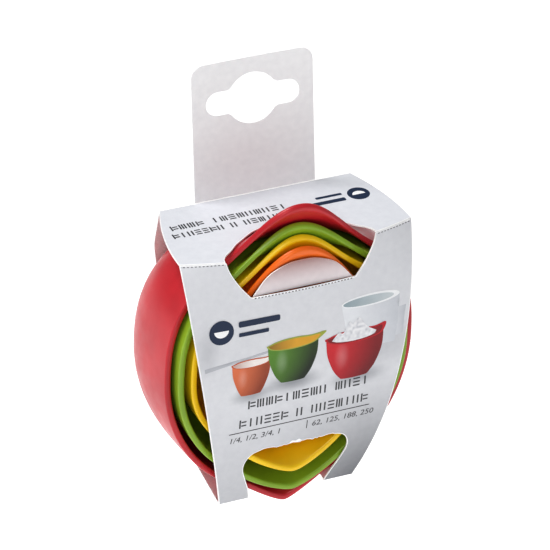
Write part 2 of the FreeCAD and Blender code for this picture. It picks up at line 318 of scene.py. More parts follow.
def sharpen(piece, degrees):
    """Marks edges sharper than an angle, so that cut edges stay crisp under smooth shading."""
    work = bmesh.new()
    work.from_mesh(piece.data)
    for edge in work.edges:
        if len(edge.link_faces) == 2 and edge.calc_face_angle(0) > math.radians(degrees):
            edge.smooth = False
    work.to_mesh(piece.data)
    work.free()


def paint(piece, colours):
    layer = piece.data.color_attributes.new("ink_and_shade", "FLOAT_COLOR", "POINT")
    flat = [c for colour in colours for c in (*colour, 1.0)]
    layer.data.foreach_set("color", flat)


# ---- cups ----
def body_radius(cup, angle, inset):
    upper = abs(angle) < math.pi / 2
    side = cup["half_width"] - inset
    height = (cup["top"] if upper else cup["bottom"]) - inset
    power = UPPER_POWER if upper else LOWER_POWER
    across = abs(math.sin(angle) / side) ** power
    along = abs(math.cos(angle) / height) ** power
    return (across + along) ** (-1 / power)


def bowl_profile(cup, angle, t):
    reach = (1 - BASE_FRACTION ** CORNER_ROOT) ** (1 / CORNER_POWER)
    corner = (1 - (reach * t) ** CORNER_POWER) ** (1 / CORNER_ROOT)
    belly = 1 + cup["belly"] * math.sin(angle) ** 2 * math.sin(math.pi * t)
    taper = 1 - TOP_TAPER * max(0.0, math.cos(angle)) ** 2 * t * t
    return corner * belly * taper


def handle_bump(cup, x):
    u = abs(x) / cup["handle_half"]
    return math.cos(math.pi * u / 2) ** 2 if u < 1 else 0.0


def spout_bump(cup, angle):
    u = (math.pi - abs(angle)) / math.radians(cup["spout_half_angle"])
    rounded = math.sqrt(u * u + SPOUT_ROUND ** 2) - SPOUT_ROUND
    return (1 - rounded) ** SPOUT_SHARPNESS if rounded < 1 else 0.0


def fade(t, reach):
    return max(0.0, 1 - t / reach) ** 2


def cup_point(cup, angle, t, inset):
    """Point of the wall: angle round from the top, t from rim to base, inset into the wall."""
    radius = body_radius(cup, angle, inset) * bowl_profile(cup, angle, t)
    upper = abs(angle) < math.pi / 2
    handle = handle_bump(cup, radius * math.sin(angle)) * fade(t, HANDLE_FADE) if upper else 0.0
    spout = spout_bump(cup, angle) * fade(t, SPOUT_FADE)
    thickness = inset * (1 + LIP_GROWTH * handle)
    tilt = math.radians(HANDLE_TILT) * handle
    reach = radius + (cup["spout_tip"] - cup["bottom"]) * spout
    y = (cup["depth"] - inset) * t - cup["forward"] + cup["spout_back"] * spout
    y -= cup["handle_forward"] * handle + thickness * math.sin(tilt)
    z = reach * math.cos(angle) + (cup["handle_tip"] - cup["top"]) * handle
    z += inset - thickness * math.cos(tilt)
    return Vector((reach * math.sin(angle), y, z))


def cup_rows(cup):
    """(t, inset, shrink, lift) of each ring of the skin, from the outside of the base round the rim to
    the inside of the base. The rim's two edges are rounded."""
    edge = RIM_EDGE / cup["depth"]
    depths = [edge + (1 - edge) * math.sin(math.pi / 2 * i / WALL_ROWS) for i in range(WALL_ROWS + 1)]
    rows = [(1.0, 0.0, 0.5, -FOOT_RECESS), (1.0, 0.0, 1 - 1.3 * FOOT_INSET, -FOOT_RECESS)]
    rows += [(1.0, 0.0, 1 - FOOT_INSET, 0.0)]
    rows += [(t, 0.0, 1.0, 0.0) for t in reversed(depths)]
    for i in range(1, 2 * EDGE_ROWS):
        turn = math.pi * i / (2 * EDGE_ROWS)
        across = math.copysign(abs(math.cos(turn)) ** 0.7, math.cos(turn))
        rows.append((edge * (1 - math.sin(turn) ** 0.7), WALL * (1 - across) / 2, 1.0, 0.0))
    rows += [(t, WALL, 1.0, 0.0) for t in depths]
    rows += [(1.0, WALL, 0.9, 0.0), (1.0, WALL, 0.5, 0.0)]
    return rows


def build_cup(node):
    cup = CUPS[node]
    slot, colour = CUP_LOOKS[node]
    angles = [math.remainder(2 * math.pi * i / CUP_STEPS, 2 * math.pi) for i in range(CUP_STEPS)]
    points = []
    for t, inset, shrink, lift in cup_rows(cup):
        for angle in angles:
            p = cup_point(cup, angle, t, inset)
            points.append(place(p.x * shrink, p.y + lift, p.z * shrink))
    rows = len(points) // CUP_STEPS
    faces = []
    for row in range(rows - 1):
        for i in range(CUP_STEPS):
            j = (i + 1) % CUP_STEPS
            a = row * CUP_STEPS
            faces.append((a + i, a + j, a + CUP_STEPS + j, a + CUP_STEPS + i))
    outside = place(0, cup["depth"] - cup["forward"] - FOOT_RECESS, 0)
    inside = place(0, cup["depth"] - WALL - cup["forward"], 0)
    points += [outside, inside]
    last = (rows - 1) * CUP_STEPS
    for i in range(CUP_STEPS):
        j = (i + 1) % CUP_STEPS
        faces.append((len(points) - 2, j, i))
        faces.append((len(points) - 1, last + i, last + j))
    piece = make_piece(node + "_shell", points, faces, [moulded_plastic(slot, linear(colour))])
    turn_outward(piece)
    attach(piece, node)
    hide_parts(node)
    return piece


# ---- card shapes ----
def quadratic(v, knots):
    """Value at v of the parabola through three (v, value) knots."""
    total = 0.0
    for i, (vi, value) in enumerate(knots):
        weight = 1.0
        for j, (vj, _) in enumerate(knots):
            if i != j:
                weight *= (v - vj) / (vi - vj)
        total += value * weight
    return total


def front_arc_y(z):
    rise = TOP_Z - BOTTOM_Z
    chord = math.hypot(rise, FRONT_TOP_Y - FRONT_BOTTOM_Y)
    radius = (chord ** 2 / 4 + FRONT_BOW ** 2) / (2 * FRONT_BOW)
    lean = math.atan2(FRONT_BOTTOM_Y - FRONT_TOP_Y, rise)
    middle_y = (FRONT_TOP_Y + FRONT_BOTTOM_Y) / 2 + (radius - FRONT_BOW) * math.cos(lean)
    middle_z = (TOP_Z + BOTTOM_Z) / 2 + (radius - FRONT_BOW) * math.sin(lean)
    return middle_y - math.sqrt(radius ** 2 - (z - middle_z) ** 2)


def round_in(distance):
    """How far a face turns in near a crease, at a distance from it."""
    if distance >= CREASE_ROUND:
        return 0.0
    return CREASE_ROUND - math.sqrt(CREASE_ROUND ** 2 - (CREASE_ROUND - distance) ** 2)


def wave(u, v, seed):
    return CARD_WAVE * noise.noise(Vector((u / 22, v / 22, seed)))


def front_outer(x, z, lift=0.0):
    height = max(0.0, (z - BOTTOM_Z) / (TOP_Z - BOTTOM_Z))
    y = front_arc_y(z) - CREASE_BOW * (1 - (x / TOP_FRONT_HALF) ** 2) * height ** 6
    y += round_in(TOP_Z - z) + wave(x, z, 1.0) * min(1.0, (z - BOTTOM_Z) / 20)
    return Vector((x, y - lift, z))


def front_inner(x, z):
    inner = front_outer(x, min(z, TOP_Z - CARD - GAP))
    low = BOTTOM_Z + CARD + GAP
    return Vector((x, inner.y + CARD, max(inner.z, low)))


def crease_y(x):
    return FRONT_TOP_Y - CREASE_BOW * (1 - (x / TOP_FRONT_HALF) ** 2)


def top_outer(x, y, lift=0.0):
    edge = 0.1 + abs(y - crease_y(x))
    return Vector((x, y, TOP_Z - round_in(edge) + lift))


def top_inner(x, y):
    return Vector((x, y, TOP_Z - CARD))


def bottom_outer(x, y, lift=0.0):
    return Vector((x, y, BOTTOM_Z - lift))


def bottom_inner(x, y):
    return Vector((x, y, BOTTOM_Z + CARD))


def soft_min(a, b, blend):
    overlap = max(blend - abs(a - b), 0.0) / blend
    return min(a, b) - overlap * overlap * blend / 4


def back_y(z):
    """Inner face of the back panel: a flat middle, turned in above and below."""
    low_slope = (BACK_FLAT_Y - BACK_BOTTOM_Y) / (BACK_FLAT_LOW_Z - BOTTOM_Z - CARD - GAP)
    top_slope = (BACK_TOP_Y - BACK_FLAT_Y) / (TOP_Z - CARD - GAP - BACK_FLAT_TOP_Z)
    low = BACK_FLAT_Y + low_slope * (z - BACK_FLAT_LOW_Z)
    top = BACK_FLAT_Y + top_slope * (z - BACK_FLAT_TOP_Z)
    return soft_min(soft_min(low, BACK_FLAT_Y, 0.3), top, 2.0)


def back_inner(x, z):
    return Vector((x, back_y(z), z))


def back_outer(x, z, lift=0.0):
    return Vector((x, back_y(z) + CARD + lift, z))


def lap_outer(x, z):
    return Vector((x, back_y(z) - GAP, z))


def lap_inner(x, z):
    return Vector((x, back_y(z) - GAP - CARD, z))


def tab_point(x, height, offset):
    lean = math.radians(TAB_LEAN)
    curl = 0.5 * math.sin(math.pi * x / TAB_HALF / 2) ** 2
    y = TAB_ROOT_Y + height * math.sin(lean) + offset * math.cos(lean)
    z = TOP_Z + height * math.cos(lean) - offset * math.sin(lean)
    return Vector((x, y - curl * (height / TAB_HEIGHT) * 0.6, z))


def tab_outer(x, height):
    return tab_point(x, height, -CARD / 2)


def tab_inner(x, height):
    return tab_point(x, height, CARD / 2)


def flap_point(x, reach, offset):
    turn = math.radians(FLAP_FROM_UPRIGHT)
    root = front_inner(FLAP_HALF, WINDOW_LOW_Z).y + FLAP_GAP
    y = root + reach * math.sin(turn) + offset * math.cos(turn)
    z = WINDOW_LOW_Z - GAP + reach * math.cos(turn) - offset * math.sin(turn)
    return Vector((x, y, z))


def flap_outer(x, reach):
    return flap_point(x, reach, 0.0)


def flap_inner(x, reach):
    return flap_point(x, reach, CARD)


# ---- outlines ----
def smooth_path(points, steps):
    """A curve through points (Catmull-Rom), with a number of steps between each two."""
    ends = [points[0]] + list(points) + [points[-1]]
    path = []
    for a, b, c, d in zip(ends, ends[1:], ends[2:], ends[3:]):
        for i in range(steps):
            t = i / steps
            value = []
            for k in range(2):
                value.append(0.5 * (2 * b[k] + (c[k] - a[k]) * t
                             + (2 * a[k] - 5 * b[k] + 4 * c[k] - d[k]) * t * t
                             + (3 * b[k] - a[k] - 3 * c[k] + d[k]) * t ** 3))
            path.append(tuple(value))
    return path + [tuple(points[-1])]


def mirrored(path):
    """A closed loop from its right-hand half."""
    left = [(-a, b) for a, b in reversed(path) if a > 1e-6]
    return list(path) + left


def straight(a, b, step=GRID):
    count = max(1, round(math.dist(a, b) / step))
    return [tuple(a[k] + (b[k] - a[k]) * i / count for k in range(2)) for i in range(count + 1)]


def arc(centre, radius, start, end, steps):
    path = []
    for i in range(steps + 1):
        turn = math.radians(start + (end - start) * i / steps)
        path.append((centre[0] + radius * math.cos(turn), centre[1] + radius * math.sin(turn)))
    return path


def front_side(z):
    knots = [(BOTTOM_Z, BOTTOM_FRONT_HALF), (FRONT_MID_Z, FRONT_MID_HALF), (TOP_Z, TOP_FRONT_HALF)]
    return quadratic(z, knots)


def torn_edge():
    """Upper edge of the lower window, right to left: small nicks where perforations were torn."""
    nicks = random.Random(7)
    path = []
    x = LOW_SIDE[-1][0] - 0.7
    while x > -LOW_SIDE[-1][0] + 0.7:
        depth = TEAR_DEPTH * nicks.random() if abs(x) < 11 else 0.0
        path.append((x, LOW_TOP_Z + 0.25 - depth))
        x -= 0.5 + 0.8 * nicks.random()
    return path


def front_outline():
    """Outer loop of the front panel, with the two windows cut in from its creases."""
    low = BOTTOM_Z + GAP
    high = TOP_Z - 0.3 * CREASE_ROUND
    right = []
    for i in range(61):
        z = low + (high - low) * i / 60
        right.append((front_side(z), z))
    window = [p for p in smooth_path(WINDOW_SIDE, 6) if p[1] < high] + [(WINDOW_SIDE[-1][0] - 0.1, high)]
    bottom = [p for p in smooth_path(LOW_SIDE, 6) if p[1] > low]
    bottom = [(LOW_SIDE[0][0] + 0.1, low)] + bottom
    loop = straight(bottom[0], right[0])[:-1] + right
    loop += straight(right[-1], window[-1])[1:-1] + list(reversed(window))
    loop += straight(window[0], (-window[0][0], window[0][1]))[1:-1]
    loop += [(-a, b) for a, b in window]
    left = [(-a, b) for a, b in right]
    loop += straight((-window[-1][0], high), left[-1])[1:-1] + list(reversed(left))
    loop += straight(left[0], (-bottom[0][0], low))[1:-1]
    loop += [(-a, b) for a, b in bottom] + list(reversed(torn_edge())) + list(reversed(bottom))[:-1]
    return loop


def lip_crossing():
    """Where the largest cup's handle passes the top panel: (x, y) of its outer face, by angle."""
    cup = CUPS["one_cup"]
    found = []
    for i in range(-60, 61):
        angle = math.radians(i * 0.9)
        if cup_point(cup, angle, 0.0, 0.0).z <= TOP_Z:
            continue
        low, high = 0.0, HANDLE_FADE
        for _ in range(30):
            middle = (low + high) / 2
            if cup_point(cup, angle, middle, 0.0).z > TOP_Z:
                low = middle
            else:
                high = middle
        p = cup_point(cup, angle, low, 0.0)
        found.append((p.x, p.y))
    return found


def top_outline():
    clearance = 0.45
    lip = lip_crossing()
    window = []
    for x, y in smooth_path(WINDOW_TOP, 6):
        near = [b for a, b in lip if abs(a - x) < 1.6]
        window.append((x, max([y] + [b + clearance for b in near])))
    window = [p for p in window if p[1] > crease_y(p[0]) + 0.25]
    start = (WINDOW_TOP[0][0], crease_y(WINDOW_TOP[0][0]) + 0.24)
    window = [start] + window
    front = []
    for i in range(13):
        x = start[0] + (TOP_FRONT_HALF - start[0]) * i / 12
        front.append((x, crease_y(x) + 0.24))
    side = []
    knots = [(FRONT_TOP_Y, TOP_FRONT_HALF),
             ((FRONT_TOP_Y + BACK_TOP_Y) / 2, (TOP_FRONT_HALF + TOP_BACK_HALF) / 2 + TOP_SIDE_BULGE),
             (BACK_TOP_Y, TOP_BACK_HALF)]
    for i in range(1, 25):
        y = FRONT_TOP_Y + (BACK_TOP_Y - FRONT_TOP_Y) * i / 24
        side.append((quadratic(y, knots), y))
    right = list(reversed(window)) + front[1:] + side
    back = straight(side[-1], (0.0, BACK_TOP_Y))[1:]
    return mirrored(right + back)


def bottom_outline():
    window = [p for p in smooth_path(LOW_BASE, 6) if p[1] > FRONT_BOTTOM_Y + GAP]
    front = (window[0][0], FRONT_BOTTOM_Y + GAP)
    right = list(reversed(window)) + straight(front, (BOTTOM_FRONT_HALF, front[1]))
    right += straight((BOTTOM_FRONT_HALF, front[1]), (BOTTOM_BACK_HALF, BACK_BOTTOM_Y))[1:]
    right += straight((BOTTOM_BACK_HALF, BACK_BOTTOM_Y), (0.0, BACK_BOTTOM_Y))[1:]
    return mirrored(right)


def back_outline():
    low = BOTTOM_Z + CARD + GAP
    high = TOP_Z - GAP
    right = straight((0.0, low), (BOTTOM_BACK_HALF, low))
    right += straight((BOTTOM_BACK_HALF, low), (BACK_WIDE_HALF, BACK_WIDE_Z))[1:]
    right += straight((BACK_WIDE_HALF, BACK_WIDE_Z), (TOP_BACK_HALF, high))[1:]
    right += straight((TOP_BACK_HALF, high), (0.0, high))[1:]
    return mirrored(right)


def lap_outline():
    low = BOTTOM_Z + CARD
    right = straight((0.0, low), (BOTTOM_BACK_HALF, low))
    right += straight((BOTTOM_BACK_HALF, low), (BOTTOM_BACK_HALF - 0.5, low + LAP_HEIGHT))[1:]
    right += straight((BOTTOM_BACK_HALF - 0.5, low + LAP_HEIGHT), (0.0, low + LAP_HEIGHT))[1:]
    return mirrored(right)


def tab_outline():
    corner = (TAB_HALF - TAB_CORNER, TAB_HEIGHT - TAB_CORNER)
    right = straight((0.0, 0.0), (TAB_HALF, 0.0))
    right += straight((TAB_HALF, 0.0), (TAB_HALF, corner[1]))[1:]
    right += arc(corner, TAB_CORNER, 0, 90, 10)[1:]
    right += straight((corner[0], TAB_HEIGHT), (0.0, TAB_HEIGHT))[1:]
    return mirrored(right)


def hang_hole():
    """A round hole with a slot across it, as one loop with softened inner corners."""
    meet = math.degrees(math.asin(SLOT_HALF_HEIGHT / HOLE_RADIUS))
    centre = (0.0, HOLE_HEIGHT)
    end = (SLOT_HALF - SLOT_HALF_HEIGHT, HOLE_HEIGHT)
    upper = arc(end, SLOT_HALF_HEIGHT, 0, 90, 10)
    shoulder = (HOLE_RADIUS * math.cos(math.radians(meet)), HOLE_HEIGHT + SLOT_HALF_HEIGHT)
    upper += straight(upper[-1], (shoulder[0] + 0.8, shoulder[1]))[1:]
    upper += [p for p in arc(centre, HOLE_RADIUS, meet + 6, 90, 14)]
    quarter = upper
    half = quarter + [(-a, b) for a, b in reversed(quarter[:-1])]
    return half + [(a, 2 * HOLE_HEIGHT - b) for a, b in reversed(half[1:-1])]


def flap_outline():
    right = straight((0.0, 0.0), (FLAP_HALF, 0.0))
    knots = [(FLAP_HALF, 0.0), (FLAP_MID_HALF, FLAP_MID), (FLAP_TIP_HALF, FLAP_LENGTH - 0.5)]
    right += smooth_path(knots + [(0.0, FLAP_LENGTH)], 6)[1:]
    return mirrored(right)


# ---- card pieces ----
def inside(points, loop):
    """Which of the points lie inside a closed loop."""
    x, y = points[:, 0], points[:, 1]
    result = np.zeros(len(points), bool)
    for (x0, y0), (x1, y1) in zip(loop, loop[1:] + loop[:1]):
        if y0 != y1:
            crosses = (y0 > y) != (y1 > y)
            result ^= crosses & (x < (x1 - x0) * (y - y0) / (y1 - y0) + x0)
    return result


def triangulate(loop, holes, step, rows=()):
    """Points and triangles of a flat shape: its loops, a grid inside them and extra rows of points."""
    loops = [loop] + list(holes)
    edge_points = np.array([p for ring in loops for p in ring])
    low, high = edge_points.min(0), edge_points.max(0)
    grid = []
    for i in range(int((high[0] - low[0]) / step) + 2):
        for j in range(int((high[1] - low[1]) / step) + 2):
            grid.append((low[0] + (i + 0.5 * (j % 2)) * step, low[1] + j * step))
    grid = np.array(list(rows) + grid)
    keep = inside(grid, loop)
    for hole in holes:
        keep &= ~inside(grid, hole)
    grid = grid[keep]
    count = len(rows)
    near = np.array([np.min(np.sum((edge_points - g) ** 2, 1)) for g in grid])
    grid = grid[near > (0.12 * step) ** 2 if count else near > (0.45 * step) ** 2]
    coordinates = [Vector(p) for p in edge_points] + [Vector(p) for p in grid]
    edges = []
    start = 0
    for ring in loops:
        edges += [(start + i, start + (i + 1) % len(ring)) for i in range(len(ring))]
        start += len(ring)
    verts, _, faces, _, _, _ = delaunay_2d_cdt(coordinates, edges, [], 0, 1e-6)
    flat = np.array([tuple(v) for v in verts])
    centres = np.array([flat[list(f)].mean(0) for f in faces])
    good = inside(centres, loop)
    for hole in holes:
        good &= ~inside(centres, hole)
    return [tuple(p) for p in flat], [tuple(f) for f, ok in zip(faces, good) if ok]


def card_piece(node, body, loop, holes, outer, inner, tint, step=GRID, rows=()):
    """A sheet of card with a printed outside, a plain inside and a pale cut edge all round. On the front
    panel and the flap the outside's tint also carries painted shade.
    """
    flat, triangles = triangulate(loop, holes, step, rows)
    used = sorted({i for f in triangles for i in f})
    index = {old: new for new, old in enumerate(used)}
    flat = [flat[i] for i in used]
    triangles = [tuple(index[i] for i in f) for f in triangles]
    count = len(flat)
    points = [place(*outer(u, v)) for u, v in flat] + [place(*inner(u, v)) for u, v in flat]
    sides = {}
    for f in triangles:
        for a, b in zip(f, f[1:] + f[:1]):
            sides[(a, b)] = True
    rim = [(a, b) for a, b in sides if (b, a) not in sides]
    faces = list(triangles)
    faces += [tuple(count + i for i in reversed(f)) for f in triangles]
    faces += [(b, a, count + a, count + b) for a, b in rim]
    indices = [0] * len(triangles) + [1] * len(triangles) + [2] * len(rim)
    piece = make_piece(node + "_card", points, faces, [CARD_FACE, CARD_INSIDE, CARD_EDGE], indices)
    paint(piece, [tint(u, v) for u, v in flat] * 2)
    turn_outward(piece)
    sharpen(piece, 50)
    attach(piece, body)
    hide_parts(node)
    return piece


# ---- print ----
PAPER = linear("#DEDFE3")
NAVY = linear("#1B2F4E")
LETTER = linear("#3B3C40")
RULE = linear("#77787C")
BRIGHT = linear("#FAFAFA")


def mix(a, b, share):
    return tuple(x + (y - x) * share for x, y in zip(a, b))


def spot(u, v, centre, radii):
    """A soft round patch: 1 in its middle and 0 outside its radii."""
    d = math.hypot((u - centre[0]) / radii[0], (v - centre[1]) / radii[1])
    return max(0.0, 1 - d * d) ** 2


def front_print_and_shade(x, z):
    """Printed background: a pale table top with soft printed shadows under the pictured cups. Its
    darkening low down and to the right is partly print and partly painted shade.
    """
    # Painted shade: the panel grows darker low down and to the right, where the bowed front turns away
    # from the light, over a lighter printed gradient.
    low = max(0.0, min(1.0, (-z - 4) / 50))
    right = max(0.0, min(1.0, (x + 12) / 38))
    colour = mix(PAPER, linear("#65676D"), low * (0.4 + 0.6 * right))
    shade = 0.75 * spot(x, z, (-4, -1), (13, 5)) + 0.6 * spot(x, z, (-19, -3), (10, 4))
    shade += 0.65 * spot(x, z, (20, -4.5), (14, 4.5)) + 0.25 * spot(x, z, (30, 6), (16, 12))
    shade += 0.25 * spot(x, z, (-35, 17), (6, 12))
    return mix(colour, linear("#7D8087"), min(0.85, shade))


# Painted shade and painted reflection: the plain card flap darkens and turns pink towards its far end,
# where it reaches into the shade of the cups and picks up their red light.
def flap_painted_shade(u, v):
    return mix(linear("#EFE7E9"), linear("#B08A88"), (v / FLAP_LENGTH) ** 1.6)


def plain_tint(colour):
    return lambda u, v: colour


class Print:
    """Flat patches of ink laid on a panel, each a little above the one before."""

    def __init__(self, surface):
        self.surface = surface
        self.points = []
        self.faces = []
        self.colours = []
        self.layer = 0

    def patch(self, loop, colour, step=1.3, lift=None):
        """A filled loop. Without a stated lift it lies above every such patch before it."""
        shade = colour if callable(colour) else plain_tint(colour)
        flat, triangles = triangulate(list(loop), [], step)
        start = len(self.points)
        if lift is None:
            self.layer += 1
            lift = 0.02 + 0.006 * self.layer
        self.points += [place(*self.surface(u, v, lift)) for u, v in flat]
        self.colours += [shade(u, v) for u, v in flat]
        self.faces += [tuple(start + i for i in f) for f in triangles]

    def strip(self, path, width, colour, closed=False):
        """A band along a path, to its left."""
        start = len(self.points)
        ring = list(path)
        for i, (u, v) in enumerate(ring):
            after = ring[(i + 1) % len(ring)] if closed or i + 1 < len(ring) else (u, v)
            before = ring[i - 1] if closed or i > 0 else (u, v)
            along = Vector((after[0] - before[0], after[1] - before[1]))
            along = along.normalized() if along.length > 1e-9 else Vector((1, 0))
            side = (u - along.y * width, v + along.x * width)
            self.points += [place(*self.surface(u, v, 0.018)), place(*self.surface(*side, 0.018))]
            self.colours += [colour, colour]
        for i in range(len(ring) if closed else len(ring) - 1):
            a = start + 2 * i
            b = start + 2 * ((i + 1) % len(ring))
            self.faces.append((a, b, b + 1, a + 1))

    def finish(self, name, body, outward):
        piece = make_piece(name, self.points, self.faces, [PRINT_INK])
        paint(piece, self.colours)
        work = bmesh.new()
        work.from_mesh(piece.data)
        for face in work.faces:
            face.normal_update()
            if face.normal.dot(outward) < 0:
                face.normal_flip()
        bmesh.ops.delete(work, geom=[f for f in work.faces if f.calc_area() < 1e-13], context="FACES")
        work.to_mesh(piece.data)
        work.free()
        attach(piece, body)
        return piece


def ellipse(centre, radii, start=0, end=360, steps=28):
    path = []
    for i in range(steps + (0 if end - start == 360 else 1)):
        turn = math.radians(start + (end - start) * i / steps)
        path.append((centre[0] + radii[0] * math.cos(turn), centre[1] + radii[1] * math.sin(turn)))
    return path


def lozenge(left, right, low, high, slant=0.0):
    """A small rounded bar; slant lifts its right end."""
    corner = 0.28 * min(right - left, high - low)
    loop = []
    for (cx, cy), start in (((right - corner, low + corner), 270), ((right - corner, high - corner), 0),
                            ((left + corner, high - corner), 90), ((left + corner, low + corner), 180)):
        loop += arc((cx, cy), corner, start, start + 90, 3)
    return [(u, v + slant * (u - left)) for u, v in loop]


STROKE = 0.55
MARKS = (
    ((0.0, 0.0, 0.0, 1.0), (0.8, 0.0, 0.8, 1.0)),
    ((0.0, 0.0, 0.0, 1.0), (0.35, 0.75, 1.0, 0.75), (0.35, 0.25, 1.0, 0.25)),
    ((0.4, 0.0, 0.4, 1.0),),
    ((0.0, 0.0, 0.9, 0.0), (0.0, 0.5, 0.9, 0.5), (0.0, 1.0, 0.9, 1.0)),
    ((0.0, 0.0, 0.0, 1.0), (0.45, 0.0, 0.45, 1.0), (0.9, 0.0, 0.9, 1.0)),
)


def heading(sheet, counts, left, right, low, high, seed):
    """A line of thin placeholder strokes in word-long groups. It is no alphabet and spells nothing."""
    choice = random.Random(seed)
    pitch = (right - left) / (sum(counts) + 0.8 * (len(counts) - 1))
    wide = 0.66 * pitch
    tall = high - low - STROKE
    u = left
    for count in counts:
        for _ in range(count):
            for u0, v0, u1, v1 in choice.choice(MARKS):
                a = (u + u0 * wide, low + v0 * tall)
                b = (u + u1 * wide + STROKE, low + v1 * tall + STROKE)
                sheet.patch(lozenge(a[0], b[0], a[1], b[1]), LETTER, step=2.0, lift=0.03)
            u += pitch
        u += 0.8 * pitch


def emblem(sheet, centre, width, turn):
    """A neutral badge: a disc with a bowl on it and two plain bars beside it."""
    radius = 0.17 * width
    cu, cv = centre
    disc = (cu - turn * 0.33 * width, cv)
    sheet.patch(ellipse(disc, (radius, radius)), NAVY)
    start, end = (180, 360) if turn > 0 else (0, 180)
    middle = (disc[0], disc[1] + turn * 0.12 * radius)
    bowl = ellipse(middle, (0.6 * radius, 0.55 * radius), start, end, 12)
    sheet.patch(bowl, BRIGHT, step=0.8)
    for row, (length, thick) in enumerate(((0.58, 0.085), (0.42, 0.055))):
        v = cv + turn * (0.07 - 0.15 * row) * width
        a = cu - turn * 0.09 * width
        b = a + turn * length * width
        sheet.patch(lozenge(min(a, b), max(a, b), v - thick * width / 2, v + thick * width / 2), NAVY)


def rim_loop(centre, half, opening, reach, rise):
    """The seen opening of a pictured cup: an ellipse with a spout on its left, a handle on its right."""
    path = []
    for step in range(60):
        turn = 2 * math.pi * step / 60
        handle = max(0.0, math.cos(turn - 0.3)) ** 14
        pour = max(0.0, -math.cos(turn)) ** 24
        u = centre[0] + half * (math.cos(turn) * (1 + 0.05 * pour) + reach * handle)
        path.append((u, centre[1] + opening * math.sin(turn) + half * (rise * handle + 0.05 * pour)))
    return path


def pictured_cup(sheet, centre, half, height, foot, colours, reach, rise, content=None):
    """A drawing of a cup from the side: colours are its lit side, dark side, rim and inside."""
    cu, cv = centre
    lit, dark, rim, inner = [linear(c) for c in colours]
    opening = 0.24 * half
    knots = [(cu + half, cv), (cu + 0.95 * half, cv - 0.36 * height),
             (cu + 0.73 * half, cv - 0.74 * height), (cu + foot, cv - 0.97 * height)]
    right = smooth_path(knots, 8)
    base = ellipse((cu, right[-1][1]), (foot, 0.03 * height), 0, -180, 8)[1:-1]
    left = [(2 * cu - a, b) for a, b in reversed(right)]
    side = right + base + left + ellipse(centre, (half, opening), 180, 0, 20)[1:-1]

    def shade(u, v):
        share = 0.85 * max(0.0, min(1.0, 0.8 * (u - cu) / half + 0.4))
        share += 0.5 * max(0.0, (cv - v) / height) ** 2
        gleam = 0.14 * spot(u, v, (cu - 0.45 * half, cv - 0.42 * height), (0.3 * half, 0.4 * height))
        return mix(mix(lit, dark, min(1.0, share)), BRIGHT, gleam)

    def hollow(u, v):
        return mix(inner, mix(inner, dark, 0.55), max(0.0, min(1.0, (cu - u) / half + 0.1)))

    sheet.patch(side, shade, step=0.9)
    sheet.patch(rim_loop(centre, half, opening, reach, rise), rim, step=1.0)
    sheet.patch(rim_loop((cu, cv - 0.01 * half), 0.92 * half, 0.8 * opening, 0.6 * reach, 0.7 * rise),
                hollow, step=1.0)
    if content:
        sheet.patch(content, flour_tint, step=0.8)


def flour_tint(u, v):
    grain = noise.noise(Vector((u * 0.9, v * 1.1, 4.0)))
    return mix(linear("#F4F4F6"), linear("#A9ACB6"), max(0.0, min(1.0, 0.25 + 0.8 * grain)))


def numerals(sheet, text, left, low, size):
    """Plain capacity figures, from the built-in font, laid on a panel."""
    curve = bpy.data.curves.new("figures", "FONT")
    curve.body = text
    curve.size = size
    curve.resolution_u = 3
    holder = bpy.data.objects.new("figures", curve)
    bpy.context.scene.collection.objects.link(holder)
    bpy.context.view_layer.update()
    mesh = bpy.data.meshes.new_from_object(holder)
    start = len(sheet.points)
    for v in mesh.vertices:
        sheet.points.append(place(*sheet.surface(left + v.co.x + 0.12 * v.co.y, low + v.co.y, 0.03)))
        sheet.colours.append(LETTER)
    for face in mesh.polygons:
        sheet.faces.append(tuple(start + i for i in face.vertices))
    width = max(v.co.x for v in mesh.vertices)
    bpy.data.objects.remove(holder)
    bpy.data.meshes.remove(mesh)
    return left + width


def perforation(sheet, path, length, width):
    """Short dark dashes along a path of points, one centred on each."""
    for u, v in path:
        dash = lozenge(u - length / 2, u + length / 2, v - width / 2, v + width / 2)
        sheet.patch(dash, RULE, step=2.0, lift=0.03)


def paled(colour, other, start, end):
    """A tint that runs from one colour to another between two places across the panel."""
    a, b = linear(colour), linear(other)
    return lambda u, v: mix(a, b, max(0.0, min(1.0, (u - start) / (end - start))))


def pictures(sheet):
    """The printed scene: a white bowl and cup behind three small cups on a pale table."""
    sheet.patch([(-36.2, 11.0), (-12.5, 13.5), (-12.5, 12.6), (-36.0, 9.4)], linear("#BDBFC5"))
    sheet.patch([(33.4, 19.0), (37.6, 19.4), (36.4, 9.0), (33.6, 8.6)],
                paled("#D9DBE0", "#C3C6CC", 33, 38))
    sheet.patch([(13.6, 23.6), (15.4, 12), (16.5, 6.5), (33.2, 6.5), (34.5, 14), (35.3, 23.8)],
                paled("#E6E8EC", "#CDD0D6", 18, 35))
    sheet.patch(ellipse((24.4, 24.3), (10.9, 2.2)), linear("#F4F5F7"))
    sheet.patch(ellipse((23.6, 24.2), (9.6, 1.6)), paled("#98A9B0", "#D3D9DC", 14, 34))
    pictured_cup(sheet, (-19.5, 9.9), 6.9, 12.6, 3.6, ("#DE7A4E", "#94401F", "#C9623A", "#F3ECE8"),
                 0.22, 0.16)
    pictured_cup(sheet, (-4.3, 14.3), 9.2, 15.0, 4.4, ("#5F8F2C", "#16260F", "#A3AE4C", "#DCA82F"),
                 0.36, 0.16)
    heap = smooth_path([(9.8, 11.6), (12.2, 14.2), (14.2, 14.0), (16.2, 17.8), (17.6, 16.6),
                        (20.0, 18.6), (23.0, 14.6), (26.4, 12.4)], 4)
    heap += ellipse((18.1, 11.9), (8.1, 1.7), 0, -180, 10)[1:-1]
    pictured_cup(sheet, (18.4, 12.0), 10.6, 16.6, 5.0, ("#D0202E", "#7A0E18", "#C21A28", "#8E1420"),
                 0.13, 0.2, heap)


